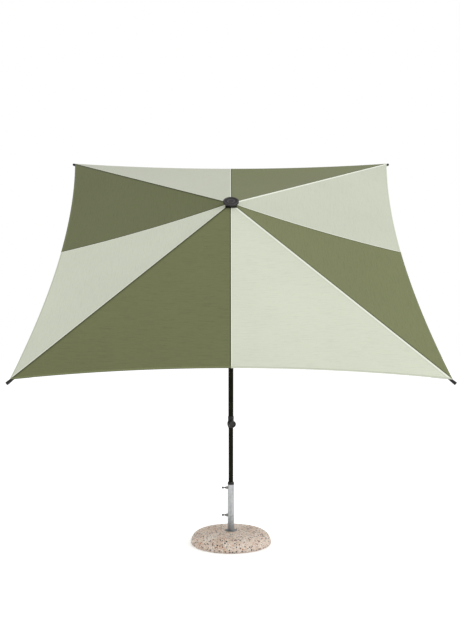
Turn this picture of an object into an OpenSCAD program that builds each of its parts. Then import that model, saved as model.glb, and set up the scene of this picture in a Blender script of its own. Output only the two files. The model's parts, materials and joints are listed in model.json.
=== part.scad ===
// Square garden parasol that tilts, on a telescoping mast in a terrazzo base.
// Millimetres, +Z up. The origin is the middle of the base's underside, and the canopy tilts toward -Y.

/* [Base] */
// Width of the terrazzo base
base_d = 450; // [400:5:500]
// Height of the base's domed top
base_h = 72; // [50:1:80]
// Height of the base's widest line above the ground
base_rim_z = 12; // [8:1:25]
// Outside diameter of the socket tube
socket_d = 36; // [30:1:50]
// Wall of the socket tube
socket_wall = 1.5; // [1:0.1:3]
// Height of the socket tube's mouth
socket_top_z = 329; // [250:1:400]
// Height of the upper thumb screw
upper_screw_z = 311; // [200:1:320]
// Height of the lower thumb screw
lower_screw_z = 158; // [90:1:190]

/* [Mast] */
// Outside diameter of the lower pole
pole_d = 25.8; // [20:0.1:30]
// Height of the lower pole's top end, inside the mast
pole_top_z = 955; // [900:5:1050]
// Outside diameter of the mast and the upper mast
mast_d = 28; // [24:0.5:40]
// Wall of the mast tubes
mast_wall = 0.8; // [0.6:0.1:2]
// Height of the clamp sleeve's lower end
clamp_z = 647; // [600:1:700]
// Angle of the height knob, round the mast from the front
knob_turn = 15; // [0:1:90]
// Diameter of the height knob
knob_d = 38.6; // [30:0.2:50]

/* [Tilt] */
// Height of the tilt pin
pivot_z = 1247; // [1100:1:1500]
// Angle that the canopy leans at rest
tilt = 40.2; // [0:0.1:45]

/* [Canopy] */
// Distance from the tilt pin to the finial's top
apex_s = 780; // [700:1:900]
// Half the width between two rib tips, along one edge of the square
tip_half = 975; // [900:1:1100]
// Drop from the finial's top to a rib tip's middle
tip_drop = 329; // [250:1:400]
// Half the width between two fabric corners
cloth_half = 962; // [900:1:1080]
// Drop from the finial's top to a fabric corner
cloth_drop = 315; // [250:1:400]
// Distance from the mast to the middle of a fabric edge
edge_mid = 893; // [800:1:1000]
// Drop from the finial's top to the middle of a fabric edge
edge_mid_drop = 312; // [250:1:400]
// Most that a face sags below its seams
sag = 14; // [0:1:40]
// Thickness of the fabric solids
cloth_t = 1.2; // [0.8:0.1:3]
// Diameter of a rib
rib_d = 12; // [8:0.5:20]
// Distance along a rib from its pin to its strut pin, and the strut's length
strut_len = 335; // [280:1:345]
// Diameter of the finial
finial_d = 80; // [60:1:100]

/* [Hidden] */
$fn = 64;
eps = 0.01;
running = 0.1;
clear = 0.3;
socket_r = socket_d / 2;
socket_bore_r = socket_r - socket_wall;
socket_floor_z = 10;
pole_r = pole_d / 2;
mast_r = mast_d / 2;
mast_bore_r = mast_r - mast_wall;
press_r = mast_r + 0.05;
screw_r = 3;
mast_foot_z = clamp_z + 13;
mast_top_z = pivot_z - 52;
knob_z = clamp_z + 23;
hinge_r = 30;
cloth_top_s = apex_s - 12;
crown_s = apex_s - 30;
tip_r = tip_half * sqrt(2);
rib_angle = atan((crown_s - apex_s + tip_drop) / (tip_r - hinge_r));
rib_len = (tip_r - hinge_r) / cos(rib_angle);
runner_s = crown_s - 2 * strut_len * sin(rib_angle);
slot_w = 8.6;
tongue_w = 8;
hub_r = 38;
pin_r = 2.5;
ear_gap = 8.3;
black = [0.08, 0.08, 0.08];
olive_black = [0.12, 0.12, 0.09];
galvanised = [0.68, 0.70, 0.71];
dark_olive = [0.42, 0.44, 0.32];
pale_sage = [0.80, 0.83, 0.76];

// ---- Shared shapes ----

module tube(outer_r, inner_r, length) {
    difference() {
        cylinder(r = outer_r, h = length);
        translate([0, 0, -1])
            cylinder(r = inner_r, h = length + 2);
    }
}

// Turns +Z to point out of the mast, at an angle round it from the front.
module outward(angle, z) {
    translate([0, 0, z])
        rotate([0, 0, angle])
            rotate([90, 0, 0])
                children();
}

// The canopy's own frame: its origin is the tilt pin, and +Z runs up the upper mast.
module canopy_frame() {
    translate([0, 0, pivot_z])
        rotate([tilt, 0, 0])
            children();
}

// Rib k's frame: its origin is the rib's pin, and +X runs out along the rib.
module rib_frame(k) {
    canopy_frame()
        rotate([0, 0, 90 * k - 225])
            translate([hinge_r, 0, crown_s])
                rotate([0, rib_angle, 0])
                    children();
}

// Strut k's frame: its origin is the strut's pin on the rib, and +X runs down to the runner.
module strut_frame(k) {
    canopy_frame()
        rotate([0, 0, 90 * k - 225])
            translate([hinge_r + strut_len * cos(rib_angle), 0, crown_s - strut_len * sin(rib_angle)])
                rotate([0, 180 - rib_angle, 0])
                    children();
}

module cross_pin(radius, width) {
    rotate([90, 0, 0])
        cylinder(r = radius, h = width, center = true, $fn = 48);
}

// ---- Base ----

// The base's top follows a superellipse, nearly flat in the middle and round at the rim.
module terrazzo_base() {
    steps = 18;
    flat = 9;
    crown_power = 1.5;
    foot_r = base_d / 2 - 14;
    top = [for (i = [0 : steps])
        let (a = 90 - 90 * i / steps)
        [base_d / 2 * pow(cos(a), 2 / flat), base_rim_z + (base_h - base_rim_z) * pow(sin(a), 2 / crown_power)]];
    rim = [for (i = [1 : 6])
        let (a = 15 * i)
        [base_d / 2 - (base_d / 2 - foot_r) * (1 - cos(a)), base_rim_z * (1 - sin(a))]];
    color([0.83, 0.75, 0.68])
        difference() {
            rotate_extrude($fn = 128)
                polygon(concat(top, rim, [[0, 0]]));
            translate([0, 0, socket_floor_z])
                cylinder(r = socket_r + 0.05, h = base_h);
        }
}

module socket_tube() {
    color(galvanised)
        difference() {
            translate([0, 0, socket_floor_z])
                tube(socket_r, socket_bore_r, socket_top_z - socket_floor_z);
            for (z = [upper_screw_z, lower_screw_z])
                outward(-90, z)
                    cylinder(r = screw_r + 0.6, h = socket_d);
        }
}

module tube_flange() {
    color(galvanised)
        translate([0, 0, base_h])
            rotate_extrude($fn = 96)
                polygon([[socket_r + 0.05, 0], [34.5, 0], [34.5, 1.2], [33, 2.4], [21.5, 2.4], [socket_r + 0.05, 5]]);
}

module socket_nuts() {
    color(galvanised)
        for (z = [upper_screw_z, lower_screw_z])
            difference() {
                outward(-90, z)
                    translate([0, 0, socket_r - 1.5])
                        cylinder(r = 8.4, h = 9.5, $fn = 6);
                translate([0, 0, z - 20])
                    cylinder(r = socket_r + 0.02, h = 40);
                outward(-90, z)
                    cylinder(r = screw_r + running, h = 60);
            }
}

module reducer_bush() {
    sleeve = 78;
    collar = 15;
    color(black)
        difference() {
            translate([0, 0, socket_top_z])
                rotate_extrude()
                    polygon([[pole_r + 0.2, -sleeve], [socket_bore_r - 0.05, -sleeve], [socket_bore_r - 0.05, 0],
                        [socket_r, 0], [socket_r, 8], [socket_r - 0.7, 11.5], [socket_r - 2.2, collar - 0.6],
                        [socket_r - 3.2, collar], [pole_r + 0.2, collar]]);
            outward(-90, upper_screw_z)
                cylinder(r = screw_r + 0.6, h = socket_d);
        }
}

// A shank that ends just clear of the pole, a cone against the nut and a flattened ball for a head.
module thumb_screw(z) {
    head_out = 45;
    color([0.45, 0.46, 0.46])
        outward(-90, z)
            rotate_extrude($fn = 48)
                polygon([[0, pole_r + 0.4], [screw_r, pole_r + 0.4], [screw_r, 27], [6.4, 27], [6.4, 29],
                    [screw_r, 34], [screw_r - 0.6, head_out - 5.6],
                    for (a = [-66 : 12 : 78]) [6 * cos(a), head_out + 6 * sin(a)],
                    [0, head_out + 6]]);
}

module thumb_screw_upper() {
    thumb_screw(upper_screw_z);
}

module thumb_screw_lower() {
    thumb_screw(lower_screw_z);
}

// ---- Pole and mast ----

module lower_pole() {
    color(olive_black)
        translate([0, 0, socket_floor_z + 6])
            tube(pole_r, pole_r - 1.2, pole_top_z - socket_floor_z - 6);
}

module pole_foot() {
    color(black)
        translate([0, 0, socket_floor_z + clear])
            difference() {
                cylinder(r = socket_bore_r - clear, h = 30);
                translate([0, 0, 6 - clear])
                    cylinder(r = pole_r + 0.02, h = 40);
                translate([0, 0, -1])
                    cylinder(r = 4, h = 10);
            }
}

// A bush pushed onto the pole's top end: its lip rests on the tube and its skirt hangs inside.
module pole_guide() {
    color(black)
        translate([0, 0, pole_top_z])
            difference() {
                union() {
                    cylinder(r = mast_bore_r - running, h = 12);
                    translate([0, 0, -20])
                        cylinder(r = pole_r - 1.25, h = 21);
                }
                translate([0, 0, -21])
                    cylinder(r = 8, h = 40);
            }
}

module mast_tube() {
    color(olive_black)
        difference() {
            translate([0, 0, mast_foot_z])
                tube(mast_r, mast_bore_r, mast_top_z - mast_foot_z);
            outward(knob_turn, knob_z)
                cylinder(r = screw_r + 0.6, h = mast_d);
        }
}

// The clamp's body swells round the screw, narrows to a neck and ends in a straight collar.
module clamp_sleeve() {
    color(black)
        difference() {
            union() {
                translate([0, 0, clamp_z])
                    rotate_extrude()
                        polygon([[0, 0], [14.3, 0], [15.2, 3], [16.8, 7], [18.8, 12], [20.1, 17], [20.5, 22],
                            [20.2, 26], [19.2, 31], [17.4, 36], [16.1, 40], [15.8, 45], [16.4, 45.6], [16.4, 64.4],
                            [15.8, 65], [0, 65]]);
                outward(knob_turn, knob_z)
                    cylinder(r = 11, h = 23.5);
            }
            translate([0, 0, clamp_z - 1])
                cylinder(r = pole_r + running, h = 30);
            translate([0, 0, mast_foot_z - eps])
                cylinder(r = press_r, h = 80);
            outward(knob_turn, knob_z)
                cylinder(r = screw_r + running, h = 60);
        }
}

// A round knob with a raised rim round a shallow dish.
module height_knob() {
    rim_r = knob_d / 2;
    color(black)
        outward(knob_turn, knob_z)
            rotate_extrude($fn = 96)
                polygon([[screw_r + 0.02, 24], [9, 24], [11, 26.5], [rim_r - 1.5, 26.5], [rim_r, 28], [rim_r, 36.5],
                    [rim_r - 0.8, 37.8], [rim_r - 2.2, 38.4], [rim_r - 3.6, 37.8], [rim_r - 4.6, 36.2],
                    [8, 35.4], [6, 36.4], [0, 36.8], [0, 31], [screw_r + 0.02, 31]]);
}

module knob_screw() {
    color(galvanised)
        outward(knob_turn, knob_z)
            translate([0, 0, pole_r + 0.4])
                cylinder(r = screw_r, h = 31 - pole_r - 0.4);
}

// ---- Tilt joint ----

// A socket for the mast below and two ears round the pin above, with a well for the button.
module tilt_fork() {
    color(black)
        translate([0, 0, pivot_z])
            difference() {
                union() {
                    translate([0, 0, -78])
                        cylinder(r = 17, h = 56);
                    intersection() {
                        translate([-20, -16, -24])
                            cube([40, 32, 24]);
                        translate([0, 0, -30])
                            cylinder(r = 18.5, h = 60);
                    }
                    intersection() {
                        rotate([0, 90, 0])
                            cylinder(r = 16, h = 40, center = true);
                        translate([0, 0, -30])
                            cylinder(r = 18.5, h = 60);
                    }
                }
                translate([-ear_gap, -20, -17])
                    cube([2 * ear_gap, 40, 40]);
                translate([0, 0, -79])
                    cylinder(r = press_r, h = 27);
                translate([0, 0, -60])
                    cylinder(r = 9, h = 60);
                rotate([0, 90, 0])
                    cylinder(r = 4.05, h = 60, center = true);
                translate([10, 0, 0])
                    rotate([0, 90, 0])
                        cylinder(r = 7.3, h = 20);
            }
}

module tilt_pin() {
    color(galvanised)
        translate([-17, 0, pivot_z])
            rotate([0, 90, 0])
                cylinder(r = 4, h = 26.8);
}

module tilt_button() {
    color([0.25, 0.25, 0.26])
        translate([0, 0, pivot_z])
            rotate([0, 90, 0])
                rotate_extrude()
                    polygon([[0, 13.5], [7, 13.5], [7, 20], [6.4, 21.2], [5, 21.8], [0, 22]]);
}

// Three turns of wire between the pin and the button, drawn as closed rings.
module tilt_spring() {
    color(galvanised)
        for (x = [10.6, 11.8, 13])
            translate([x, 0, pivot_z])
                rotate([0, 90, 0])
                    rotate_extrude()
                        translate([5.5, 0])
                            circle(r = 0.45, $fn = 24);
}

// A tongue on the pin below and a socket for the upper mast above.
module tilt_head() {
    color(black)
        canopy_frame()
            difference() {
                union() {
                    rotate([0, 90, 0])
                        cylinder(r = 15, h = 16, center = true);
                    translate([-8, -15, 0])
                        cube([16, 30, 24]);
                    translate([0, 0, 22])
                        cylinder(r = 17, h = 36);
                }
                rotate([0, 90, 0])
                    cylinder(r = 4.05, h = 40, center = true);
                translate([0, 0, 30])
                    cylinder(r = press_r, h = 60);
            }
}

// ---- Upper mast, crown and finial ----

module upper_mast() {
    color(olive_black)
        canopy_frame()
            translate([0, 0, 30])
                tube(mast_r, mast_bore_r, crown_s - 5 - 30);
}

// A long roof as wide as the canopy, just under the fabric.
module roof_under_cloth() {
    slope = (edge_mid_drop - 12 + 4 * sag) / edge_mid;
    peak = cloth_top_s - cloth_t - 0.8;
    rotate([90, 0, 0])
        linear_extrude(height = 120, center = true)
            polygon([[-60, peak - 60 * slope - 60], [60, peak - 60 * slope - 60], [60, peak - 60 * slope],
                [0, peak], [-60, peak - 60 * slope]]);
}

// The crown's top is cut to the pyramid that the fabric makes over it.
module crown() {
    color(black)
        canopy_frame()
            difference() {
                intersection() {
                    union() {
                        translate([0, 0, crown_s - 10])
                            cylinder(r = hub_r, h = 30);
                        translate([0, 0, crown_s - 32])
                            cylinder(r = 18, h = 30);
                    }
                    roof_under_cloth();
                    rotate([0, 0, 90])
                        roof_under_cloth();
                }
                translate([0, 0, crown_s - 33])
                    cylinder(r = press_r, h = 28.5);
                translate([0, 0, crown_s - 20])
                    cylinder(r = screw_r + 0.02, h = 60);
                for (k = [1 : 4])
                    rotate([0, 0, 90 * k - 225])
                        translate([22, -slot_w / 2, crown_s - 40])
                            cube([30, slot_w, 80]);
                for (k = [1 : 4])
                    rotate([0, 0, 90 * k - 225])
                        translate([hinge_r, 0, crown_s])
                            cross_pin(pin_r + 0.03, 21);
            }
}

module crown_pins() {
    color(galvanised)
        canopy_frame()
            for (k = [1 : 4])
                rotate([0, 0, 90 * k - 225])
                    translate([hinge_r, 0, crown_s])
                        cross_pin(pin_r, 20);
}

// A thin disc with a rounded rim, a shallow dish on top and a neck that passes through the fabric.
module finial() {
    r = finial_d / 2;
    color([0.10, 0.09, 0.10])
        canopy_frame()
            translate([0, 0, apex_s - 10])
                rotate_extrude($fn = 128)
                    polygon([[screw_r + 0.02, -2.4], [9, -2.4], [9, 0], [r - 2, 0], [r - 0.6, 1], [r, 3], [r, 7],
                        [r - 0.6, 9], [r - 2, 10], [r - 8, 10], [r - 9.2, 8.8], [r - 11, 8.4], [r - 22, 8.4],
                        [r - 23, 9], [r - 24, 8.4], [0, 8], [0, 4], [screw_r + 0.02, 4]]);
}

module finial_screw() {
    color(galvanised)
        canopy_frame()
            translate([0, 0, crown_s - 4])
                cylinder(r = screw_r, h = apex_s - 6.05 - crown_s + 4);
}

// ---- Runner ----

module runner() {
    half_h = 20;
    color(black)
        canopy_frame()
            translate([0, 0, runner_s])
                difference() {
                    rotate_extrude($fn = 96)
                        polygon([[mast_r + clear, -half_h], [hub_r - 8, -half_h], [hub_r, -12], [hub_r, 12],
                            [hub_r - 8, half_h], [mast_r + clear, half_h]]);
                    for (k = [1 : 4])
                        rotate([0, 0, 90 * k - 225])
                            translate([22, -slot_w / 2, -half_h - 1])
                                cube([30, slot_w, 2 * half_h + 2]);
                    outward(0, 0)
                        cylinder(r = screw_r + running, h = 60);
                }
}

// A fluted knob with its screw, which ends just clear of the mast.
module runner_knob() {
    color(black)
        canopy_frame()
            outward(0, runner_s)
                difference() {
                    union() {
                        translate([0, 0, mast_r + clear])
                            cylinder(r = screw_r, h = 30);
                        translate([0, 0, hub_r + 2])
                            cylinder(r = 13, h = 13);
                    }
                    for (a = [0 : 45 : 315])
                        rotate([0, 0, a])
                            translate([15, 0, hub_r + 1])
                                cylinder(r = 4, h = 15, $fn = 32);
                }
}

// ---- Ribs ----

// A tube with a flat eye at the crown, a plug between them and a hole for the strut's pin.
module rib(k) {
    tube_x = 16;
    color(olive_black)
        rib_frame(k)
            difference() {
                union() {
                    translate([tube_x, 0, 0])
                        rotate([0, 90, 0])
                            cylinder(r = rib_d / 2, h = rib_len - tube_x - 12);
                    cross_pin(7, tongue_w);
                    translate([0, -tongue_w / 2, -5])
                        cube([tube_x + 1, tongue_w, 10]);
                }
                translate([tube_x + 12, 0, 0])
                    rotate([0, 90, 0])
                        cylinder(r = rib_d / 2 - 0.8, h = rib_len);
                cross_pin(pin_r + 0.06, 30);
                translate([strut_len, 0, 0])
                    cross_pin(2.03, 30);
            }
}

// An end cap over the rib's last stretch, with a lip that holds the fabric's corner.
module rib_cap(k) {
    color(black)
        rib_frame(k)
            difference() {
                translate([rib_len - 26, 0, 0])
                    rotate([0, 90, 0])
                        rotate_extrude($fn = 48)
                            polygon([[0, 0], [6.9, 0], [6.9, 12], [7.5, 13], [7.5, 24.6], [6.6, 26], [0, 26]]);
                translate([rib_len - 27, 0, 0])
                    rotate([0, 90, 0])
                        cylinder(r = rib_d / 2 + 0.03, h = 15 + eps);
                translate([rib_len - 4, 0, 0])
                    rotate([0, 90, 0])
                        cylinder(r = 4.5, h = 10);
            }
}

module rib_bracket(k) {
    color(black)
        rib_frame(k)
            difference() {
                translate([strut_len - 9, -7, -9])
                    cube([18, 14, 15.2]);
                translate([strut_len - 10, 0, 0])
                    rotate([0, 90, 0])
                        cylinder(r = rib_d / 2 + 0.03, h = 20);
                translate([strut_len, 0, 0])
                    cross_pin(2.03, 30);
            }
}

module strut_pin(k) {
    color(galvanised)
        rib_frame(k)
            translate([strut_len, 0, 0])
                cross_pin(2, 21);
}

// A fork round the rib's bracket, then a narrow bar that ends in a round eye in the runner's slot.
module strut(k) {
    ear_in = 7.3;
    ear_t = 2.6;
    ear_out = ear_in + ear_t;
    fork_len = 60;
    color(olive_black)
        strut_frame(k)
            difference() {
                union() {
                    cross_pin(5.3, 2 * ear_out);
                    translate([0, -ear_out, -5])
                        cube([fork_len + 8, 2 * ear_out, 10]);
                    translate([fork_len + 7, -tongue_w / 2, -5])
                        cube([strut_len - fork_len - 7, tongue_w, 10]);
                    translate([strut_len, 0, 0])
                        cross_pin(5, tongue_w);
                }
                translate([-10, -ear_in, -10])
                    cube([fork_len + 10, 2 * ear_in, 20]);
                cross_pin(2.06, 40);
                translate([strut_len, 0, 0])
                    cross_pin(2.06, 20);
            }
}

// ---- Fabric ----

// One panel lies between a corner seam and the next edge's middle. Its points run out from the
// crown (u) and across from the middle seam to the corner seam (w). It stays a hair inside its seams.
rows = 16;
cols = 14;
inner_u = 0.032;
seam_gap = 0.4;

function cloth_x(u, w) = seam_gap + (u * cloth_half - 2.5 * seam_gap) * w;
function edge_share(u, w) = cloth_x(u, w) / (u * cloth_half);
function edge_y(q) = edge_mid + (cloth_half - edge_mid) * q * q;
function edge_fall(q) = edge_mid_drop + (cloth_drop - edge_mid_drop) * q * q;
function cloth_sag(u, q) = sag * 4 * u * (1 - u) * (1 - q * q);
function cloth_point(u, w, lift) =
    let (q = edge_share(u, w))
    [cloth_x(u, w), u * edge_y(q),
        cloth_top_s - u * (edge_fall(q) - (apex_s - cloth_top_s)) - cloth_sag(u, q) + lift];

// side is 1 or -1: the panel on the +X or the -X half of its face.
module canopy_panel(face, side, shade) {
    layer = (rows + 1) * (cols + 1);
    points = [for (lift = [0, -cloth_t])
        for (i = [0 : rows])
            for (j = [0 : cols])
                cloth_point(inner_u + (1 - inner_u) * i / rows, j / cols, lift)];
    at = function (top, i, j) top * layer + i * (cols + 1) + j;
    sheet = [for (i = [0 : rows - 1])
        for (j = [0 : cols - 1])
            each [[at(0, i, j), at(0, i + 1, j), at(0, i + 1, j + 1)],
                [at(0, i, j), at(0, i + 1, j + 1), at(0, i, j + 1)],
                [at(1, i, j), at(1, i + 1, j + 1), at(1, i + 1, j)],
                [at(1, i, j), at(1, i, j + 1), at(1, i + 1, j + 1)]]];
    seams = [for (i = [0 : rows - 1])
        each [[at(0, i, 0), at(1, i, 0), at(1, i + 1, 0)],
            [at(0, i, 0), at(1, i + 1, 0), at(0, i + 1, 0)],
            [at(0, i, cols), at(0, i + 1, cols), at(1, i + 1, cols)],
            [at(0, i, cols), at(1, i + 1, cols), at(1, i, cols)]]];
    ends = [for (j = [0 : cols - 1])
        each [[at(0, 0, j), at(0, 0, j + 1), at(1, 0, j + 1)],
            [at(0, 0, j), at(1, 0, j + 1), at(1, 0, j)],
            [at(0, rows, j), at(1, rows, j + 1), at(0, rows, j + 1)],
            [at(0, rows, j), at(1, rows, j), at(1, rows, j + 1)]]];
    color(shade)
        canopy_frame()
            rotate([0, 0, 90 * face - 180])
                mirror([side < 0 ? 1 : 0, 0, 0])
                    polyhedron(points = points, faces = concat(sheet, seams, ends), convexity = 4);
}

terrazzo_base();
socket_tube();
tube_flange();
socket_nuts();
reducer_bush();
thumb_screw_upper();
thumb_screw_lower();
lower_pole();
pole_foot();
pole_guide();
mast_tube();
clamp_sleeve();
tilt_fork();
tilt_pin();
height_knob();
knob_screw();
tilt_button();
tilt_spring();
tilt_head();
upper_mast();
crown();
crown_pins();
finial();
finial_screw();
runner();
runner_knob();
for (k = [1 : 4]) rib(k);
for (k = [1 : 4]) rib_cap(k);
for (k = [1 : 4]) rib_bracket(k);
for (k = [1 : 4]) strut_pin(k);
for (k = [1 : 4]) strut(k);
for (p = [0 : 7])
    canopy_panel(floor(p / 2), p % 2 == 0 ? 1 : -1, p % 2 == 0 ? dark_olive : pale_sage);
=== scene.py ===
import json
import math

import bmesh
import bpy
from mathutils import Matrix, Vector


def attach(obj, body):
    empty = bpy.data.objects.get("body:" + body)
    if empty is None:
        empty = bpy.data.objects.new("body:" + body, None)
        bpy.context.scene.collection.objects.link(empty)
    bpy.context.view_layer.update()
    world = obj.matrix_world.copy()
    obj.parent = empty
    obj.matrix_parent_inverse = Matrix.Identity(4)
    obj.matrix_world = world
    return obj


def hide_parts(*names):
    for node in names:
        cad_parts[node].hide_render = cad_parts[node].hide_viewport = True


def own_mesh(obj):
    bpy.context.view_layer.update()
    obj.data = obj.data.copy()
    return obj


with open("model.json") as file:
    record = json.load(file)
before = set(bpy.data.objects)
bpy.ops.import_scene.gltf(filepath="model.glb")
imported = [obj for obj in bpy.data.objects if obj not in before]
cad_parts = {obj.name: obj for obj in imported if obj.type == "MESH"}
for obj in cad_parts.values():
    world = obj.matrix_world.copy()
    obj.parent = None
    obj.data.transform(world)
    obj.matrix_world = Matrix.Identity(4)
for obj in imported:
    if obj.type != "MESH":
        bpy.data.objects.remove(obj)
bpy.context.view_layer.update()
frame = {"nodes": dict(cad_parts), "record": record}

nodes = frame["nodes"]
joints = {joint["name"]: joint for joint in frame["record"]["behaviour"]["joints"]}
lean = math.radians(-joints["tilt"]["range_deg"][0])     # the canopy's tilt at rest
pivot = Vector(joints["tilt"]["pos_m"])
print("frame loaded:", len(nodes), "nodes")


def linearColour(hexColour):
    # sRGB hex to the linear colour that Blender's sockets take
    parts = [int(hexColour[i:i + 2], 16) / 255 for i in (1, 3, 5)]
    return [p / 12.92 if p <= 0.04045 else ((p + 0.055) / 1.055) ** 2.4 for p in parts] + [1.0]


def addNode(tree, kind, inputs=None, stops=(), **settings):
    # stops are a colour ramp's (position, hex) pairs, first to last
    node = tree.nodes.new(kind)
    for name, value in settings.items():
        setattr(node, name, value)
    for i, (position, hexColour) in enumerate(stops):
        elements = node.color_ramp.elements
        element = elements[i] if i < len(elements) else elements.new(position)
        element.position = position
        element.color = linearColour(hexColour)
    for name, value in (inputs or {}).items():
        if isinstance(value, bpy.types.NodeSocket):
            tree.links.new(value, node.inputs[name])
        else:
            node.inputs[name].default_value = value
    return node


def newMaterial(name):
    material = bpy.data.materials.new(name)
    material.use_nodes = True
    tree = material.node_tree
    return material, tree, tree.nodes["Principled BSDF"]


def deselectAll():
    if bpy.context.object and bpy.context.object.mode != "OBJECT":
        bpy.ops.object.mode_set(mode="OBJECT")
    bpy.ops.object.select_all(action="DESELECT")


def makeActive(piece):
    deselectAll()
    piece.select_set(True)
    bpy.context.view_layer.objects.active = piece


def applyModifier(piece, kind, **settings):
    makeActive(piece)
    modifier = piece.modifiers.new(kind.title(), kind)
    for name, value in settings.items():
        setattr(modifier, name, value)
    bpy.ops.object.modifier_apply(modifier=modifier.name)


def giveMaterial(piece, *materials):
    piece.data.materials.clear()
    for material in materials:
        piece.data.materials.append(material)


cameraPlace = {"x": -0.005, "distance": 4.538, "height": 1.196, "lookUp": 0.6, "lens": 45.16,
               "sensor": 36.0}
studio = {
    "world": 0.80, "glossyLeft": 0.06, "glossyRight": 0.72,     # strengths, by what the ray is for
    "floorSize": 60, "floorTone": 0.9, "floorGlow": 0.16, "floorSeen": 0.40,
}
studioLights = {
    "key": {"at": (4.2, -3.4, 4.6), "aim": (0, -0.4, 1.3), "size": 3.2, "power": 140,
            "mirrored": True},
    "fill": {"at": (-4.5, -2.5, 2.5), "aim": (0, 0, 1.0), "size": 3.0, "power": 20,
             "mirrored": False},
}


def addCamera():
    camera = bpy.data.cameras.new("camera")
    camera.lens = cameraPlace["lens"]
    camera.sensor_width = cameraPlace["sensor"]
    holder = bpy.data.objects.new("camera", camera)
    holder.location = (cameraPlace["x"], -cameraPlace["distance"], cameraPlace["height"])
    holder.rotation_euler = (math.radians(90 + cameraPlace["lookUp"]), 0, 0)
    bpy.context.scene.collection.objects.link(holder)
    bpy.context.scene.camera = holder


def addAreaLight(name, plan):
    light = bpy.data.lights.new(name, "AREA")
    light.shape = "DISK"
    light.size = plan["size"]
    light.energy = plan["power"]
    holder = bpy.data.objects.new(name, light)
    holder.location = plan["at"]
    toward = Vector(plan["aim"]) - Vector(plan["at"])
    holder.rotation_euler = toward.to_track_quat("-Z", "Y").to_euler()
    holder.visible_glossy = plan["mirrored"]
    bpy.context.scene.collection.objects.link(holder)


def addStudio():
    world = bpy.data.worlds.new("studio")
    world.use_nodes = True
    background = world.node_tree.nodes["Background"]
    background.inputs["Color"].default_value = (1, 1, 1, 1)
    rays = addNode(world.node_tree, "ShaderNodeLightPath")
    # reflections see a room that is darker on the left, away from the key light
    toward = addNode(world.node_tree, "ShaderNodeTexCoord").outputs["Generated"]
    sideways = addNode(world.node_tree, "ShaderNodeSeparateXYZ", {0: toward}).outputs["X"]
    mirrored = addNode(world.node_tree, "ShaderNodeMapRange", {"Value": sideways, "From Min": -1,
                                                               "To Min": studio["glossyLeft"],
                                                               "To Max": studio["glossyRight"]})
    lit = addNode(world.node_tree, "ShaderNodeMix", {0: rays.outputs["Is Glossy Ray"],
                                                     2: studio["world"], 3: mirrored.outputs[0]},
                  data_type="FLOAT")
    # straight to the camera the world is pure white
    seen = addNode(world.node_tree, "ShaderNodeMix", {0: rays.outputs["Is Camera Ray"],
                                                      2: lit.outputs[0], 3: 1.0}, data_type="FLOAT")
    world.node_tree.links.new(seen.outputs[0], background.inputs["Strength"])
    bpy.context.scene.world = world
    bpy.context.scene.view_settings.view_transform = "Standard"
    bpy.context.scene.view_settings.look = "None"
    for name, plan in studioLights.items():
        addAreaLight(name, plan)
    deselectAll()
    bpy.ops.mesh.primitive_plane_add(size=studio["floorSize"], location=(0, 0, 0))
    floor = bpy.context.object
    floor.name = "floor"
    material, tree, shader = newMaterial("pale floor")
    shader.inputs["Base Color"].default_value = [studio["floorTone"]] * 3 + [1]
    shader.inputs["Roughness"].default_value = 0.9
    shader.inputs["Specular IOR Level"].default_value = 0.0
    shader.inputs["Emission Color"].default_value = (1, 1, 1, 1)
    seen = addNode(tree, "ShaderNodeLightPath").outputs["Is Camera Ray"]
    glow = addNode(tree, "ShaderNodeMapRange", {"Value": seen, "To Min": studio["floorGlow"],
                                                "To Max": studio["floorSeen"]})
    tree.links.new(glow.outputs[0], shader.inputs["Emission Strength"])
    giveMaterial(floor, material)


addCamera()
addStudio()
print("camera, lights and floor placed")


weaveScale = {
    "longStreak": (0.09, 0.005), "shortStreak": (0.03, 0.002),     # along and across the weft
    "thread": 0.0016, "fadeScale": 2.4,
    "seam": 0.0045, "hem": 0.0085, "hemFold": 0.0028, "soft": 0.0008,
    "stitchInset": 0.0070, "stitchHalfWidth": 0.0006, "stitchPitch": 0.0045,
}


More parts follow.
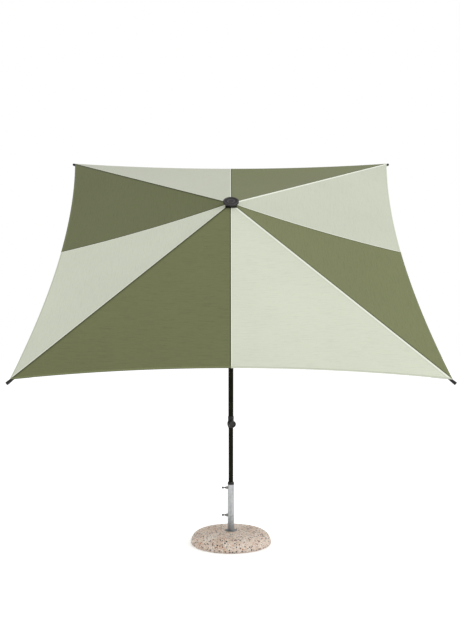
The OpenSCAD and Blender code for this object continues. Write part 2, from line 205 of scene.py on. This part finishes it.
def wovenPolyester(name, cloth, slub, seam, hem, hemLine, thread):
    # Slubby woven polyester: thick and thin weft threads show as faint streaks level with each edge.
    # Real threads are about 0.5 mm and are drawn 1.6 mm wide, so that they show.
    material, tree, shader = newMaterial(name)
    uv = addNode(tree, "ShaderNodeUVMap", uv_map="weave").outputs["UV"]
    noises = []
    for size, detail in ((weaveScale["longStreak"], 3), (weaveScale["shortStreak"], 2)):
        streak = addNode(tree, "ShaderNodeMapping", {"Vector": uv,
                                                     "Scale": (1 / size[0], 1 / size[1], 1)})
        noises.append(addNode(tree, "ShaderNodeTexNoise", {"Vector": streak.outputs[0], "Scale": 1,
                                                           "Detail": detail}).outputs["Fac"])
    streaks = addNode(tree, "ShaderNodeMix", {0: 0.45, 2: noises[0], 3: noises[1]}, data_type="FLOAT")
    ramp = addNode(tree, "ShaderNodeValToRGB", {0: streaks.outputs[0]},
                   stops=[(0.34, slub), (0.54, cloth), (0.74, slub)])
    # broad patches, where the bleach of the sun and the dye wander
    fade = addNode(tree, "ShaderNodeTexNoise", {"Vector": uv, "Scale": weaveScale["fadeScale"],
                                                "Detail": 2})
    drift = addNode(tree, "ShaderNodeMapRange", {"Value": fade.outputs["Fac"], "To Min": 0.95,
                                                 "To Max": 1.05})
    # painted light and shade: each panel's colour is scaled by its own brightness, which stands in for
    # how light falls on its face
    paintedShadeFac = addNode(tree, "ShaderNodeAttribute", attribute_name="paintedPanelShade").outputs["Fac"]
    shade = addNode(tree, "ShaderNodeMath", {0: paintedShadeFac, 1: drift.outputs[0]}, operation="MULTIPLY")
    fadedAndPanelShaded = addNode(tree, "ShaderNodeHueSaturation", {"Color": ramp.outputs["Color"],
                                                      "Value": shade.outputs[0]})
    colour = fadedAndPanelShaded.outputs["Color"]
    # felled seams, half on each side, whose band is painted lighter on pale cloth and darker on dark
    # cloth, a painted highlight and a painted shade of the raised fold; and a turned hem that is darker
    # at its fold
    seamGap = addNode(tree, "ShaderNodeAttribute", attribute_name="seamGap").outputs["Fac"]
    hemGap = addNode(tree, "ShaderNodeAttribute", attribute_name="hemGap").outputs["Fac"]
    bands = ((seamGap, "seam", seam), (hemGap, "hem", hem), (hemGap, "hemFold", hemLine))
    for gap, part, hexColour in bands:
        width, soft = weaveScale[part], weaveScale["soft"]
        band = addNode(tree, "ShaderNodeMapRange", {"Value": gap, "From Min": width - soft,
                                                    "From Max": width + soft, "To Min": 1,
                                                    "To Max": 0}).outputs[0]
        tint = addNode(tree, "ShaderNodeMix", {0: band, 6: colour, 7: linearColour(hexColour)},
                       data_type="RGBA")
        colour = tint.outputs[2]
    # a row of 3 mm lockstitch beside each seam and inside the hem, in thread drawn 1.2 mm wide to show
    split = addNode(tree, "ShaderNodeSeparateXYZ", {0: uv})
    stitches = []
    for gap, along in ((seamGap, "Y"), (hemGap, "X")):
        off = addNode(tree, "ShaderNodeMath", {0: gap, 1: weaveScale["stitchInset"],
                                               2: weaveScale["stitchHalfWidth"]}, operation="COMPARE")
        turns = addNode(tree, "ShaderNodeMath", {0: split.outputs[along],
                                                 1: 2 * math.pi / weaveScale["stitchPitch"]},
                        operation="MULTIPLY")
        wave = addNode(tree, "ShaderNodeMath", {0: turns.outputs[0]}, operation="SINE")
        raised = addNode(tree, "ShaderNodeMath", {0: wave.outputs[0], 1: -0.45},
                         operation="GREATER_THAN")
        stitches.append(addNode(tree, "ShaderNodeMath", {0: off.outputs[0], 1: raised.outputs[0]},
                                operation="MULTIPLY").outputs[0])
    stitch = addNode(tree, "ShaderNodeMath", {0: stitches[0], 1: stitches[1]},
                     operation="MAXIMUM").outputs[0]
    sewn = addNode(tree, "ShaderNodeMix", {0: stitch, 6: colour, 7: linearColour(thread)},
                   data_type="RGBA")
    tree.links.new(sewn.outputs[2], shader.inputs["Base Color"])
    threads = []
    for axis in ("X", "Y"):
        turns = addNode(tree, "ShaderNodeMath", {0: split.outputs[axis],
                                                 1: 2 * math.pi / weaveScale["thread"]},
                        operation="MULTIPLY")
        threads.append(addNode(tree, "ShaderNodeMath", {0: turns.outputs[0]},
                               operation="SINE").outputs[0])
    weave = addNode(tree, "ShaderNodeMath", {0: threads[0], 1: threads[1]}, operation="MULTIPLY")
    fine = addNode(tree, "ShaderNodeBump", {"Height": weave.outputs[0], "Strength": 0.12,
                                            "Distance": 0.0003})
    slubs = addNode(tree, "ShaderNodeBump", {"Height": streaks.outputs[0], "Strength": 0.5,
                                             "Distance": 0.0006, "Normal": fine.outputs[0]})
    # the extra layers of seam and hem stand up and the stitches sink into them
    edges = []
    for gap, part in ((hemGap, "hem"), (seamGap, "seam")):
        width = weaveScale[part]
        edges.append(addNode(tree, "ShaderNodeMapRange", {"Value": gap, "From Min": width - 0.0007,
                                                          "From Max": width + 0.0007, "To Min": 1,
                                                          "To Max": 0}).outputs[0])
    layers = addNode(tree, "ShaderNodeMath", {0: edges[0], 1: edges[1]}, operation="MAXIMUM")
    sunk = addNode(tree, "ShaderNodeMath", {0: layers.outputs[0], 1: stitch}, operation="SUBTRACT")
    sewing = addNode(tree, "ShaderNodeBump", {"Height": sunk.outputs[0], "Strength": 0.3,
                                              "Distance": 0.0007, "Normal": slubs.outputs[0]})
    tree.links.new(sewing.outputs[0], shader.inputs["Normal"])
    shader.inputs["Roughness"].default_value = 0.8
    shader.inputs["Specular IOR Level"].default_value = 0.3
    shader.inputs["Sheen Weight"].default_value = 0.08
    shader.inputs["Sheen Roughness"].default_value = 0.45
    return material


terrazzoGrain = {"warpScale": 120, "warp": 0.007, "grit": 0.0062, "chip": 0.0100, "pore": 0.0015,
                 "stainScale": 11, "footShadeFrom": 0.002, "footShadeTo": 0.024}


def washedTerrazzo():
    # Washed aggregate in pinkish cement: pale grit, and dark, rust and slate chips up to 10 mm that
    # stand a little proud and shine more than the dusty cement between them.
    material, tree, shader = newMaterial("washed terrazzo")
    place = addNode(tree, "ShaderNodeTexCoord").outputs["Object"]
    warp = addNode(tree, "ShaderNodeTexNoise", {"Vector": place, "Scale": terrazzoGrain["warpScale"],
                                                "Detail": 2})
    shifted = addNode(tree, "ShaderNodeVectorMath", {0: warp.outputs["Color"],
                                                     1: [terrazzoGrain["warp"]] * 3},
                      operation="MULTIPLY")
    warped = addNode(tree, "ShaderNodeVectorMath", {0: place, 1: shifted.outputs[0]},
                     operation="ADD").outputs[0]
    grit = addNode(tree, "ShaderNodeTexVoronoi", {"Vector": warped, "Scale": 1 / terrazzoGrain["grit"],
                                                  "Randomness": 1.0})
    chips = addNode(tree, "ShaderNodeTexVoronoi", {"Vector": warped, "Scale": 1 / terrazzoGrain["chip"],
                                                   "Randomness": 1.0})
    gritPick = addNode(tree, "ShaderNodeSeparateColor", {0: grit.outputs["Color"]}).outputs[0]
    chipPick = addNode(tree, "ShaderNodeSeparateColor", {0: chips.outputs["Color"]})
    gritColour = addNode(tree, "ShaderNodeValToRGB", {0: gritPick},
                         stops=[(0.0, "#e9dcd0"), (0.20, "#d6bfae"), (0.38, "#f3ece3"),
                                (0.55, "#d2b39c"), (0.66, "#e3cbba"), (0.76, "#f8f4ee"),
                                (0.88, "#cfa587")])
    gritColour.color_ramp.interpolation = "CONSTANT"
    chipColour = addNode(tree, "ShaderNodeValToRGB", {0: chipPick.outputs[0]},
                         stops=[(0.0, "#2e2a2a"), (0.20, "#3f434c"), (0.36, "#5b4031"),
                                (0.50, "#221f1f"), (0.66, "#b5683c"), (0.76, "#6c6f77"),
                                (0.86, "#80583f")])
    chipColour.color_ramp.interpolation = "CONSTANT"
    gritStone = addNode(tree, "ShaderNodeMapRange", {"Value": grit.outputs["Distance"],
                                                     "From Min": 0.40, "From Max": 0.50,
                                                     "To Min": 1, "To Max": 0}).outputs[0]
    # chips come in all sizes up to the largest, and a quarter of the places hold the smallest
    reach = addNode(tree, "ShaderNodeMapRange", {"Value": chipPick.outputs[1], "From Min": 0.25,
                                                 "To Min": 0.12, "To Max": 0.50})
    gapToChip = addNode(tree, "ShaderNodeMath", {0: chips.outputs["Distance"], 1: reach.outputs[0]},
                        operation="SUBTRACT")
    chipStone = addNode(tree, "ShaderNodeMapRange", {"Value": gapToChip.outputs[0],
                                                     "From Min": -0.03, "From Max": 0.03,
                                                     "To Min": 1, "To Max": 0}).outputs[0]
    stain = addNode(tree, "ShaderNodeTexNoise", {"Vector": place, "Scale": terrazzoGrain["stainScale"],
                                                 "Detail": 4})
    cement = addNode(tree, "ShaderNodeValToRGB", {0: stain.outputs["Fac"]},
                     stops=[(0.34, "#d2baa8"), (0.5, "#e0cdbf"), (0.68, "#e9dbd0")])
    under = addNode(tree, "ShaderNodeMix", {0: gritStone, 6: cement.outputs["Color"],
                                            7: gritColour.outputs["Color"]}, data_type="RGBA")
    over = addNode(tree, "ShaderNodeMix", {0: chipStone, 6: under.outputs[2],
                                           7: chipColour.outputs["Color"]}, data_type="RGBA")
    # painted shade: darker over the lowest 24 mm, where the base meets the floor
    height = addNode(tree, "ShaderNodeSeparateXYZ", {0: place}).outputs["Z"]
    paintedFootShade = addNode(tree, "ShaderNodeMapRange", {"Value": height, "From Min": terrazzoGrain["footShadeFrom"],
                                                "From Max": terrazzoGrain["footShadeTo"],
                                                "To Min": 0.80, "To Max": 1.0})
    footShaded = addNode(tree, "ShaderNodeHueSaturation", {"Color": over.outputs[2],
                                                         "Value": paintedFootShade.outputs[0]})
    tree.links.new(footShaded.outputs["Color"], shader.inputs["Base Color"])
    rough = addNode(tree, "ShaderNodeMapRange", {"Value": chipStone, "To Min": 0.72, "To Max": 0.42})
    tree.links.new(rough.outputs[0], shader.inputs["Roughness"])
    lumps = addNode(tree, "ShaderNodeMath", {0: chipStone, 1: gritStone}, operation="MAXIMUM")
    pores = addNode(tree, "ShaderNodeTexNoise", {"Vector": place, "Scale": 1 / terrazzoGrain["pore"],
                                                 "Detail": 3})
    relief = addNode(tree, "ShaderNodeMath", {0: pores.outputs["Fac"], 1: 0.5, 2: lumps.outputs[0]},
                     operation="MULTIPLY_ADD")
    bump = addNode(tree, "ShaderNodeBump", {"Height": relief.outputs[0], "Strength": 0.7,
                                            "Distance": 0.0009})
    tree.links.new(bump.outputs[0], shader.inputs["Normal"])
    return material


zincGrain = {"spangle": 0.009, "drag": (110, 110, 5), "mottleScale": 190,
             "dullFrom": 0.065, "dullTo": 0.20}


def galvanisedSteel(name, brightHex, dullHex, metallic):
    # Hot-dip zinc: faint crystal spangle 9 mm across, drag streaks along the tube, and a duller,
    # mottled bottom that is darker towards the base.
    material, tree, shader = newMaterial(name)
    place = addNode(tree, "ShaderNodeTexCoord").outputs["Object"]
    spangle = addNode(tree, "ShaderNodeTexVoronoi", {"Vector": place,
                                                     "Scale": 1 / zincGrain["spangle"]})
    pick = addNode(tree, "ShaderNodeSeparateColor", {0: spangle.outputs["Color"]}).outputs[0]
    drag = addNode(tree, "ShaderNodeMapping", {"Vector": place, "Scale": zincGrain["drag"]})
    streak = addNode(tree, "ShaderNodeTexNoise", {"Vector": drag.outputs[0], "Scale": 1, "Detail": 4})
    blend = addNode(tree, "ShaderNodeMix", {0: 0.78, 2: pick, 3: streak.outputs["Fac"]},
                    data_type="FLOAT")
    height = addNode(tree, "ShaderNodeSeparateXYZ", {0: place}).outputs["Z"]
    mottle = addNode(tree, "ShaderNodeTexNoise", {"Vector": place, "Scale": zincGrain["mottleScale"],
                                                  "Detail": 3})
    nearFoot = addNode(tree, "ShaderNodeMapRange", {"Value": height,
                                                     "From Min": zincGrain["dullFrom"],
                                                     "From Max": zincGrain["dullTo"],
                                                     "To Min": 1, "To Max": 0})
    dulling = addNode(tree, "ShaderNodeMath", {0: nearFoot.outputs[0], 1: mottle.outputs["Fac"]},
                      operation="MULTIPLY")
    clean = addNode(tree, "ShaderNodeMath", {0: blend.outputs[0], 1: dulling.outputs[0]},
                    operation="SUBTRACT")
    ramp = addNode(tree, "ShaderNodeValToRGB", {0: clean.outputs[0]},
                   stops=[(0.12, dullHex), (0.62, brightHex)])
    tree.links.new(ramp.outputs["Color"], shader.inputs["Base Color"])
    rough = addNode(tree, "ShaderNodeMapRange", {"Value": clean.outputs[0], "To Min": 0.42,
                                                 "To Max": 0.2})
    tree.links.new(rough.outputs[0], shader.inputs["Roughness"])
    bump = addNode(tree, "ShaderNodeBump", {"Height": streak.outputs["Fac"], "Strength": 0.15,
                                            "Distance": 0.0003})
    tree.links.new(bump.outputs[0], shader.inputs["Normal"])
    shader.inputs["Metallic"].default_value = metallic
    return material


powderPeel = 0.0015


def powderCoatedSteel():
    # Satin powder coat, olive black, with an orange-peel ripple that breaks up its highlight.
    material, tree, shader = newMaterial("olive black powder coat")
    place = addNode(tree, "ShaderNodeTexCoord").outputs["Object"]
    peel = addNode(tree, "ShaderNodeTexNoise", {"Vector": place, "Scale": 1 / powderPeel, "Detail": 2})
    scuff = addNode(tree, "ShaderNodeTexNoise", {"Vector": place, "Scale": 38, "Detail": 5})
    ramp = addNode(tree, "ShaderNodeValToRGB", {0: scuff.outputs["Fac"]},
                   stops=[(0.35, "#17160a"), (0.62, "#1f1e10"), (0.78, "#2d2b1b")])
    tree.links.new(ramp.outputs["Color"], shader.inputs["Base Color"])
    rough = addNode(tree, "ShaderNodeMapRange", {"Value": scuff.outputs["Fac"], "To Min": 0.38,
                                                 "To Max": 0.5})
    tree.links.new(rough.outputs[0], shader.inputs["Roughness"])
    shader.inputs["Specular IOR Level"].default_value = 0.06
    bump = addNode(tree, "ShaderNodeBump", {"Height": peel.outputs["Fac"], "Strength": 0.12,
                                            "Distance": 0.0003})
    tree.links.new(bump.outputs[0], shader.inputs["Normal"])
    return material


mouldGrain = 0.0006


def mouldedPlastic(name, baseHex, wornHex, roughness):
    # Injection-moulded polypropylene: spark-eroded grain, a little greyer where hands rub it.
    material, tree, shader = newMaterial(name)
    place = addNode(tree, "ShaderNodeTexCoord").outputs["Object"]
    pits = addNode(tree, "ShaderNodeTexNoise", {"Vector": place, "Scale": 1 / mouldGrain, "Detail": 3})
    rub = addNode(tree, "ShaderNodeTexNoise", {"Vector": place, "Scale": 45, "Detail": 4})
    ramp = addNode(tree, "ShaderNodeValToRGB", {0: rub.outputs["Fac"]},
                   stops=[(0.4, baseHex), (0.8, wornHex)])
    tree.links.new(ramp.outputs["Color"], shader.inputs["Base Color"])
    rough = addNode(tree, "ShaderNodeMapRange", {"Value": rub.outputs["Fac"],
                                                 "To Min": roughness + 0.08,
                                                 "To Max": roughness - 0.06})
    tree.links.new(rough.outputs[0], shader.inputs["Roughness"])
    bump = addNode(tree, "ShaderNodeBump", {"Height": pits.outputs["Fac"], "Strength": 0.2,
                                            "Distance": 0.0002})
    tree.links.new(bump.outputs[0], shader.inputs["Normal"])
    return material


finialReach = 0.040      # axis to rim


def mouldedFinialNylon():
    # Glossy moulded nylon, charcoal with a plum cast: hands and rain leave its rim and ring paler, and
    # part of that is a painted highlight;
    # the band just inside the rim is painted near black, a painted shade; and dust greys the floor of
    # its dish.
    material, tree, shader = newMaterial("charcoal moulded nylon")
    place = addNode(tree, "ShaderNodeTexCoord").outputs["Object"]
    centred = addNode(tree, "ShaderNodeVectorMath", {0: place, 1: (0, 0, pivot.z)},
                      operation="SUBTRACT")
    level = addNode(tree, "ShaderNodeVectorRotate", {"Vector": centred.outputs[0], "Angle": -lean},
                    rotation_type="X_AXIS")
    flat = addNode(tree, "ShaderNodeVectorMath", {0: level.outputs[0], 1: (1, 1, 0)},
                   operation="MULTIPLY")
    reach = addNode(tree, "ShaderNodeVectorMath", {0: flat.outputs[0]}, operation="LENGTH")
    share = addNode(tree, "ShaderNodeMath", {0: reach.outputs["Value"], 1: finialReach},
                    operation="DIVIDE")
    scuff = addNode(tree, "ShaderNodeTexNoise", {"Vector": place, "Scale": 220, "Detail": 4})
    wander = addNode(tree, "ShaderNodeMapRange", {"Value": scuff.outputs["Fac"], "To Min": -0.04,
                                                  "To Max": 0.04})
    spot = addNode(tree, "ShaderNodeMath", {0: share.outputs[0], 1: wander.outputs[0]},
                   operation="ADD")
    # by radius: the pale ring and rim are part wear and part painted highlight, and the near-black band
    # inside the rim is painted shade
    ramp = addNode(tree, "ShaderNodeValToRGB", {0: spot.outputs[0]},
                   stops=[(0.0, "#353134"), (0.30, "#211d20"), (0.41, "#5c565a"), (0.50, "#232022"),
                          (0.70, "#2a2729"), (0.76, "#0c0b0b"), (0.84, "#454044"),
                          (0.96, "#2c282b")])
    tree.links.new(ramp.outputs["Color"], shader.inputs["Base Color"])
    rough = addNode(tree, "ShaderNodeMapRange", {"Value": scuff.outputs["Fac"], "To Min": 0.46,
                                                 "To Max": 0.28})
    tree.links.new(rough.outputs[0], shader.inputs["Roughness"])
    bump = addNode(tree, "ShaderNodeBump", {"Height": scuff.outputs["Fac"], "Strength": 0.2,
                                            "Distance": 0.0003})
    tree.links.new(bump.outputs[0], shader.inputs["Normal"])
    return material


# the seam colours are painted light: lighter than the pale cloth, a painted highlight, and darker than
# the dark cloth, a painted shade
paleCloth = wovenPolyester("pale sage polyester", cloth="#c5c9b8", slub="#bcc0af", seam="#dde1d3",
                           hem="#b9beac", hemLine="#c9cdbe", thread="#b6bba8")
darkCloth = wovenPolyester("dark olive polyester", cloth="#70744f", slub="#656a47", seam="#484c2e",
                           hem="#7b8059", hemLine="#51553a", thread="#585d3b")
terrazzo = washedTerrazzo()
zinc = galvanisedSteel("galvanised steel", "#c9cacc", "#9fa2a6", 0.85)
screwSteel = galvanisedSteel("dull zinc screw steel", "#747472", "#3c3c3a", 0.8)
powderCoat = powderCoatedSteel()
blackPlastic = mouldedPlastic("black moulded plastic", "#161614", "#2a2a26", 0.5)
finialPlastic = mouldedFinialNylon()
knobPlastic = mouldedPlastic("worn knob plastic", "#141311", "#3a3834", 0.34)
buttonPlastic = mouldedPlastic("grey button plastic", "#4b4c4e", "#5f6062", 0.45)

corners = (1, 2, 3, 4)
nodeFinish = {
    "zinc": (zinc, ["socket_tube", "tube_flange", "socket_nuts", "tilt_pin", "knob_screw",
                    "tilt_spring", "crown_pins", "finial_screw"]
             + [f"strut_pin_{k}" for k in corners]),
    "screws": (screwSteel, ["thumb_screw_upper", "thumb_screw_lower"]),
    "steel": (powderCoat, ["lower_pole", "mast_tube", "upper_mast"]
              + [f"rib_{k}" for k in corners] + [f"strut_{k}" for k in corners]),
    "plastic": (blackPlastic, ["reducer_bush", "pole_foot", "pole_guide", "clamp_sleeve",
                               "tilt_fork", "tilt_head", "crown", "runner"]
                + [f"rib_cap_{k}" for k in corners] + [f"rib_bracket_{k}" for k in corners]),
    "finial": (finialPlastic, ["finial"]),
    "knobs": (knobPlastic, ["height_knob", "runner_knob"]),
    "button": (buttonPlastic, ["tilt_button"]),
}
for material, names in nodeFinish.values():
    for name in names:
        giveMaterial(nodes[name], material)
print("materials made and given to the steel and plastic parts")


canopy = {
    "apexRise": 0.780,        # tilt pin to the finial's top, along the upper mast
    "clothRise": 0.768,       # tilt pin to where the faces would meet
    "halfWidth": 0.962,       # middle of the square to a corner, along each edge
    "cornerDrop": 0.315,      # finial's top down to a corner
    "edgeMid": 0.893,         # mast to the middle of an edge
    "edgeDrop": 0.312,        # finial's top down to the middle of an edge
    "sag": 0.014,             # most that a face hangs below its seams
    "innerShare": 0.032,      # share of the way out where the cloth starts, under the finial
    "thickness": 0.0007,
    "foldedShare": 0.10,      # of a gore's width, once its rib is folded
    "rows": 84, "columns": 52, "rowSpread": 1.15, "smoothAngle": 20,
    "ribSeamShare": 0.65,     # seams over the ribs are wider than the middle seams by one over this
    "weaveStep": (2.5, 1.7),  # so that no two gores show the same stretch of weave
    # painted light and shade: how light each panel looks, set per panel to stand in for how the light
    # falls on its face
    "paintedPanelShade": {1: 0.90, 2: 1.07, 3: 1.05, 4: 0.92, 5: 1.12, 6: 0.94, 7: 0.88, 8: 1.05},
}


def fromCanopy(x, y, rise):
    # from the canopy's own frame, whose origin is the tilt pin, to the row frame
    c, s = math.cos(lean), math.sin(lean)
    return Vector((x, y * c - rise * s, y * s + rise * c)) + pivot


def facePoint(out, share):
    # a point on one face: out runs from crown to edge, share from the middle seam to the rib's seam
    across = out * canopy["halfWidth"] * share
    away = out * (canopy["edgeMid"] + (canopy["halfWidth"] - canopy["edgeMid"]) * share ** 2)
    fall = canopy["edgeDrop"] + (canopy["cornerDrop"] - canopy["edgeDrop"]) * share ** 2
    fall -= canopy["apexRise"] - canopy["clothRise"]
    hang = canopy["sag"] * 4 * out * (1 - out) * (1 - share ** 2)
    return across, away, canopy["clothRise"] - out * fall - hang


pocketPlan = {"reach": 0.105, "thickness": 0.0009, "gap": 0.0001}
cornerPanels = {1: (8, 1), 2: (2, 3), 3: (4, 5), 4: (6, 7)}     # over each rib: pale panel, dark panel


def makeCornerPocket(panel, data, tip, up):
    # a second layer sewn under each corner, where the rib's end cap pulls on the cloth
    mesh = bmesh.new()
    mesh.from_mesh(data)
    far = [f for f in mesh.faces if (f.calc_center_median() - tip).length > pocketPlan["reach"]]
    bmesh.ops.delete(mesh, geom=far, context="FACES")
    drop = up.normalized() * (canopy["thickness"] + pocketPlan["gap"])
    for vert in mesh.verts:
        vert.co -= drop
    mesh.to_mesh(data)
    mesh.free()
    pocket = bpy.data.objects.new(f"cornerPocket{panel}", data)
    bpy.context.scene.collection.objects.link(pocket)
    giveMaterial(pocket, darkCloth)
    applyModifier(pocket, "SOLIDIFY", thickness=pocketPlan["thickness"], offset=-1.0)
    return pocket


def makePanel(panel, corner, dark):
    # one gore of the canopy, from the seam over its rib to the seam in the middle of its edge
    azimuth = math.radians(90 * corner - 225)     # of the rib
    face = azimuth + math.radians(45 if dark else -45)     # of the middle of the edge
    side = -1 if dark else 1
    mesh = bmesh.new()
    uvLayer = mesh.loops.layers.uv.new("weave")
    seamLayer = mesh.verts.layers.float.new("seamGap")
    hemLayer = mesh.verts.layers.float.new("hemGap")
    paintedShadeLayer = mesh.faces.layers.float.new("paintedPanelShade")
    rows, columns = canopy["rows"], canopy["columns"]
    clothDrop = canopy["edgeDrop"] - (canopy["apexRise"] - canopy["clothRise"])
    slope = math.atan2(clothDrop, canopy["edgeMid"])
    stepAcross, stepAway = canopy["weaveStep"]
    grid = {}
    for i in range(rows + 1):
        spread = 1 - (1 - i / rows) ** canopy["rowSpread"]
        out = canopy["innerShare"] + (1 - canopy["innerShare"]) * spread
        for j in range(columns + 1):
            across, away, rise = facePoint(out, 1 - j / columns)
            x = away * math.cos(face) - side * across * math.sin(face)
            y = away * math.sin(face) + side * across * math.cos(face)
            vert = mesh.verts.new(fromCanopy(x, y, rise))
            toRib = (away - across) / math.sqrt(2)
            vert[seamLayer] = min(across, canopy["ribSeamShare"] * toRib)
            vert[hemLayer] = (1 - out) * away / math.cos(slope)
            grid[i, j] = (vert, (side * across, away / math.cos(slope)))
    for i in range(rows):
        for j in range(columns):
            square = [(i, j), (i + 1, j), (i + 1, j + 1), (i, j + 1)]
            quad = mesh.faces.new([grid[key][0] for key in square])
            # painted light and shade, one brightness for each panel
            quad[paintedShadeLayer] = canopy["paintedPanelShade"][panel]
            for loop, key in zip(quad.loops, square):
                across, away = grid[key][1]
                loop[uvLayer].uv = (across + stepAcross * corner, away + (stepAway if dark else 0))
    mesh.normal_update()
    up = fromCanopy(0, 0, 1) - pivot
    if sum(f.normal.dot(up) for f in mesh.faces) < 0:
        bmesh.ops.reverse_faces(mesh, faces=mesh.faces)
    # the seam over the rib, and the way across the cloth from it, which the fold gathers
    ends = ((0, 0), (rows, 0), (rows, columns))
    start, tip, middle = (grid[key][0].co.copy() for key in ends)
    along = (tip - start).normalized()
    gather = (middle - start) - (middle - start).dot(along) * along
    area = sum(f.calc_area() for f in mesh.faces)
    data = bpy.data.meshes.new(f"canopyPanel{panel}")
    mesh.to_mesh(data)
    mesh.free()
    pocket = makeCornerPocket(panel, data.copy(), tip, up)
    sheet = bpy.data.objects.new(data.name, data)
    bpy.context.scene.collection.objects.link(sheet)
    giveMaterial(sheet, darkCloth if dark else paleCloth)
    applyModifier(sheet, "SOLIDIFY", thickness=canopy["thickness"], offset=-1.0)
    bpy.ops.object.shade_smooth_by_angle(angle=math.radians(canopy["smoothAngle"]))
    return sheet, pocket, area, tuple(gather.normalized()), tuple(start)


for corner, panels in cornerPanels.items():
    for panel, dark in zip(panels, (False, True)):
        sheet, pocket, area, gather, seamStart = makePanel(panel, corner, dark)
        for piece in (sheet, pocket):
            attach(piece, f"rib_{corner}")
            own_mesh(piece)
        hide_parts(f"canopy_panel_{panel}")
        print("canopy panel", panel, "area", round(area, 4))


basePlan = {
    "width": 0.450, "top": 0.072, "rimHeight": 0.012,
    "footInset": 0.014, "footSteps": 8,
    "foot": (0.15, 0.07),                # radii of two rings on the flat underside
    "hole": 0.01805, "floor": 0.010,     # where the tube stands, and the cement below it
    "flatness": 9, "crown": 1.5,         # powers of the dome's two axes
    "steps": 40, "turns": 200, "smoothAngle": 50,
    "relief": 0.0009, "pebble": 0.011,
    "smoothRadius": 0.04, "smoothHeight": 0.003,     # nearer the tube or the ground it stays smooth
}


def roughenBase(base):
    # washed pebbles leave the surface, but not the socket or the underside, a millimetre uneven
    washed = base.vertex_groups.new(name="washed")
    outside = [v.index for v in base.data.vertices if v.co.z > basePlan["smoothHeight"]
               and math.hypot(v.co.x, v.co.y) > basePlan["smoothRadius"]]
    washed.add(outside, 1.0, "REPLACE")
    pebbles = bpy.data.textures.new("pebbles", "CLOUDS")
    pebbles.noise_scale = basePlan["pebble"]
    applyModifier(base, "DISPLACE", texture=pebbles, texture_coords="LOCAL", vertex_group="washed",
                  strength=basePlan["relief"], mid_level=0.5)


def makeTerrazzoBase():
    # spun from half a cross-section, then roughened by its pebbles
    half, rim = basePlan["width"] / 2, basePlan["rimHeight"]
    profile = [(basePlan["hole"], basePlan["floor"]), (basePlan["hole"], basePlan["top"])]
    for i in range(1, basePlan["steps"] + 1):
        a = math.radians(90 - 90 * i / basePlan["steps"])
        r = half * math.cos(a) ** (2 / basePlan["flatness"])
        z = rim + (basePlan["top"] - rim) * math.sin(a) ** (2 / basePlan["crown"])
        if r > basePlan["hole"] + 0.002:     # the dome starts clear of the hole's edge
            profile.append((r, z))
    for i in range(1, basePlan["footSteps"] + 1):
        a = math.radians(90 * i / basePlan["footSteps"])
        profile.append((half - basePlan["footInset"] * (1 - math.cos(a)), rim * (1 - math.sin(a))))
    profile += [(r, 0.0) for r in basePlan["foot"]]
    mesh = bmesh.new()
    line = [mesh.verts.new((r, 0, z)) for r, z in profile]
    for a, b in zip(line, line[1:]):
        mesh.edges.new((a, b))
    data = bpy.data.meshes.new("terrazzoBase")
    mesh.to_mesh(data)
    mesh.free()
    base = bpy.data.objects.new("terrazzoBase", data)
    bpy.context.scene.collection.objects.link(base)
    makeActive(base)
    bpy.ops.object.mode_set(mode="EDIT")
    bpy.ops.mesh.select_all(action="SELECT")
    bpy.ops.mesh.spin(steps=basePlan["turns"], angle=2 * math.pi, center=(0, 0, 0),
                      axis=(0, 0, 1))
    bpy.ops.mesh.select_all(action="SELECT")
    bpy.ops.mesh.remove_doubles(threshold=0.00001)     # the spin's first and last columns
    bpy.ops.mesh.select_all(action="DESELECT")
    bpy.ops.mesh.select_non_manifold(extend=False, use_boundary=True)
    bpy.ops.mesh.edge_face_add()     # closes the bottom of the hole and the underside
    bpy.ops.mesh.select_all(action="SELECT")
    bpy.ops.mesh.normals_make_consistent(inside=False)
    bpy.ops.object.mode_set(mode="OBJECT")
    roughenBase(base)
    bpy.ops.object.shade_smooth_by_angle(angle=math.radians(basePlan["smoothAngle"]))
    giveMaterial(base, terrazzo)
    return base


base = makeTerrazzoBase()
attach(base, "base")
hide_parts("terrazzo_base")
print("terrazzo base made")
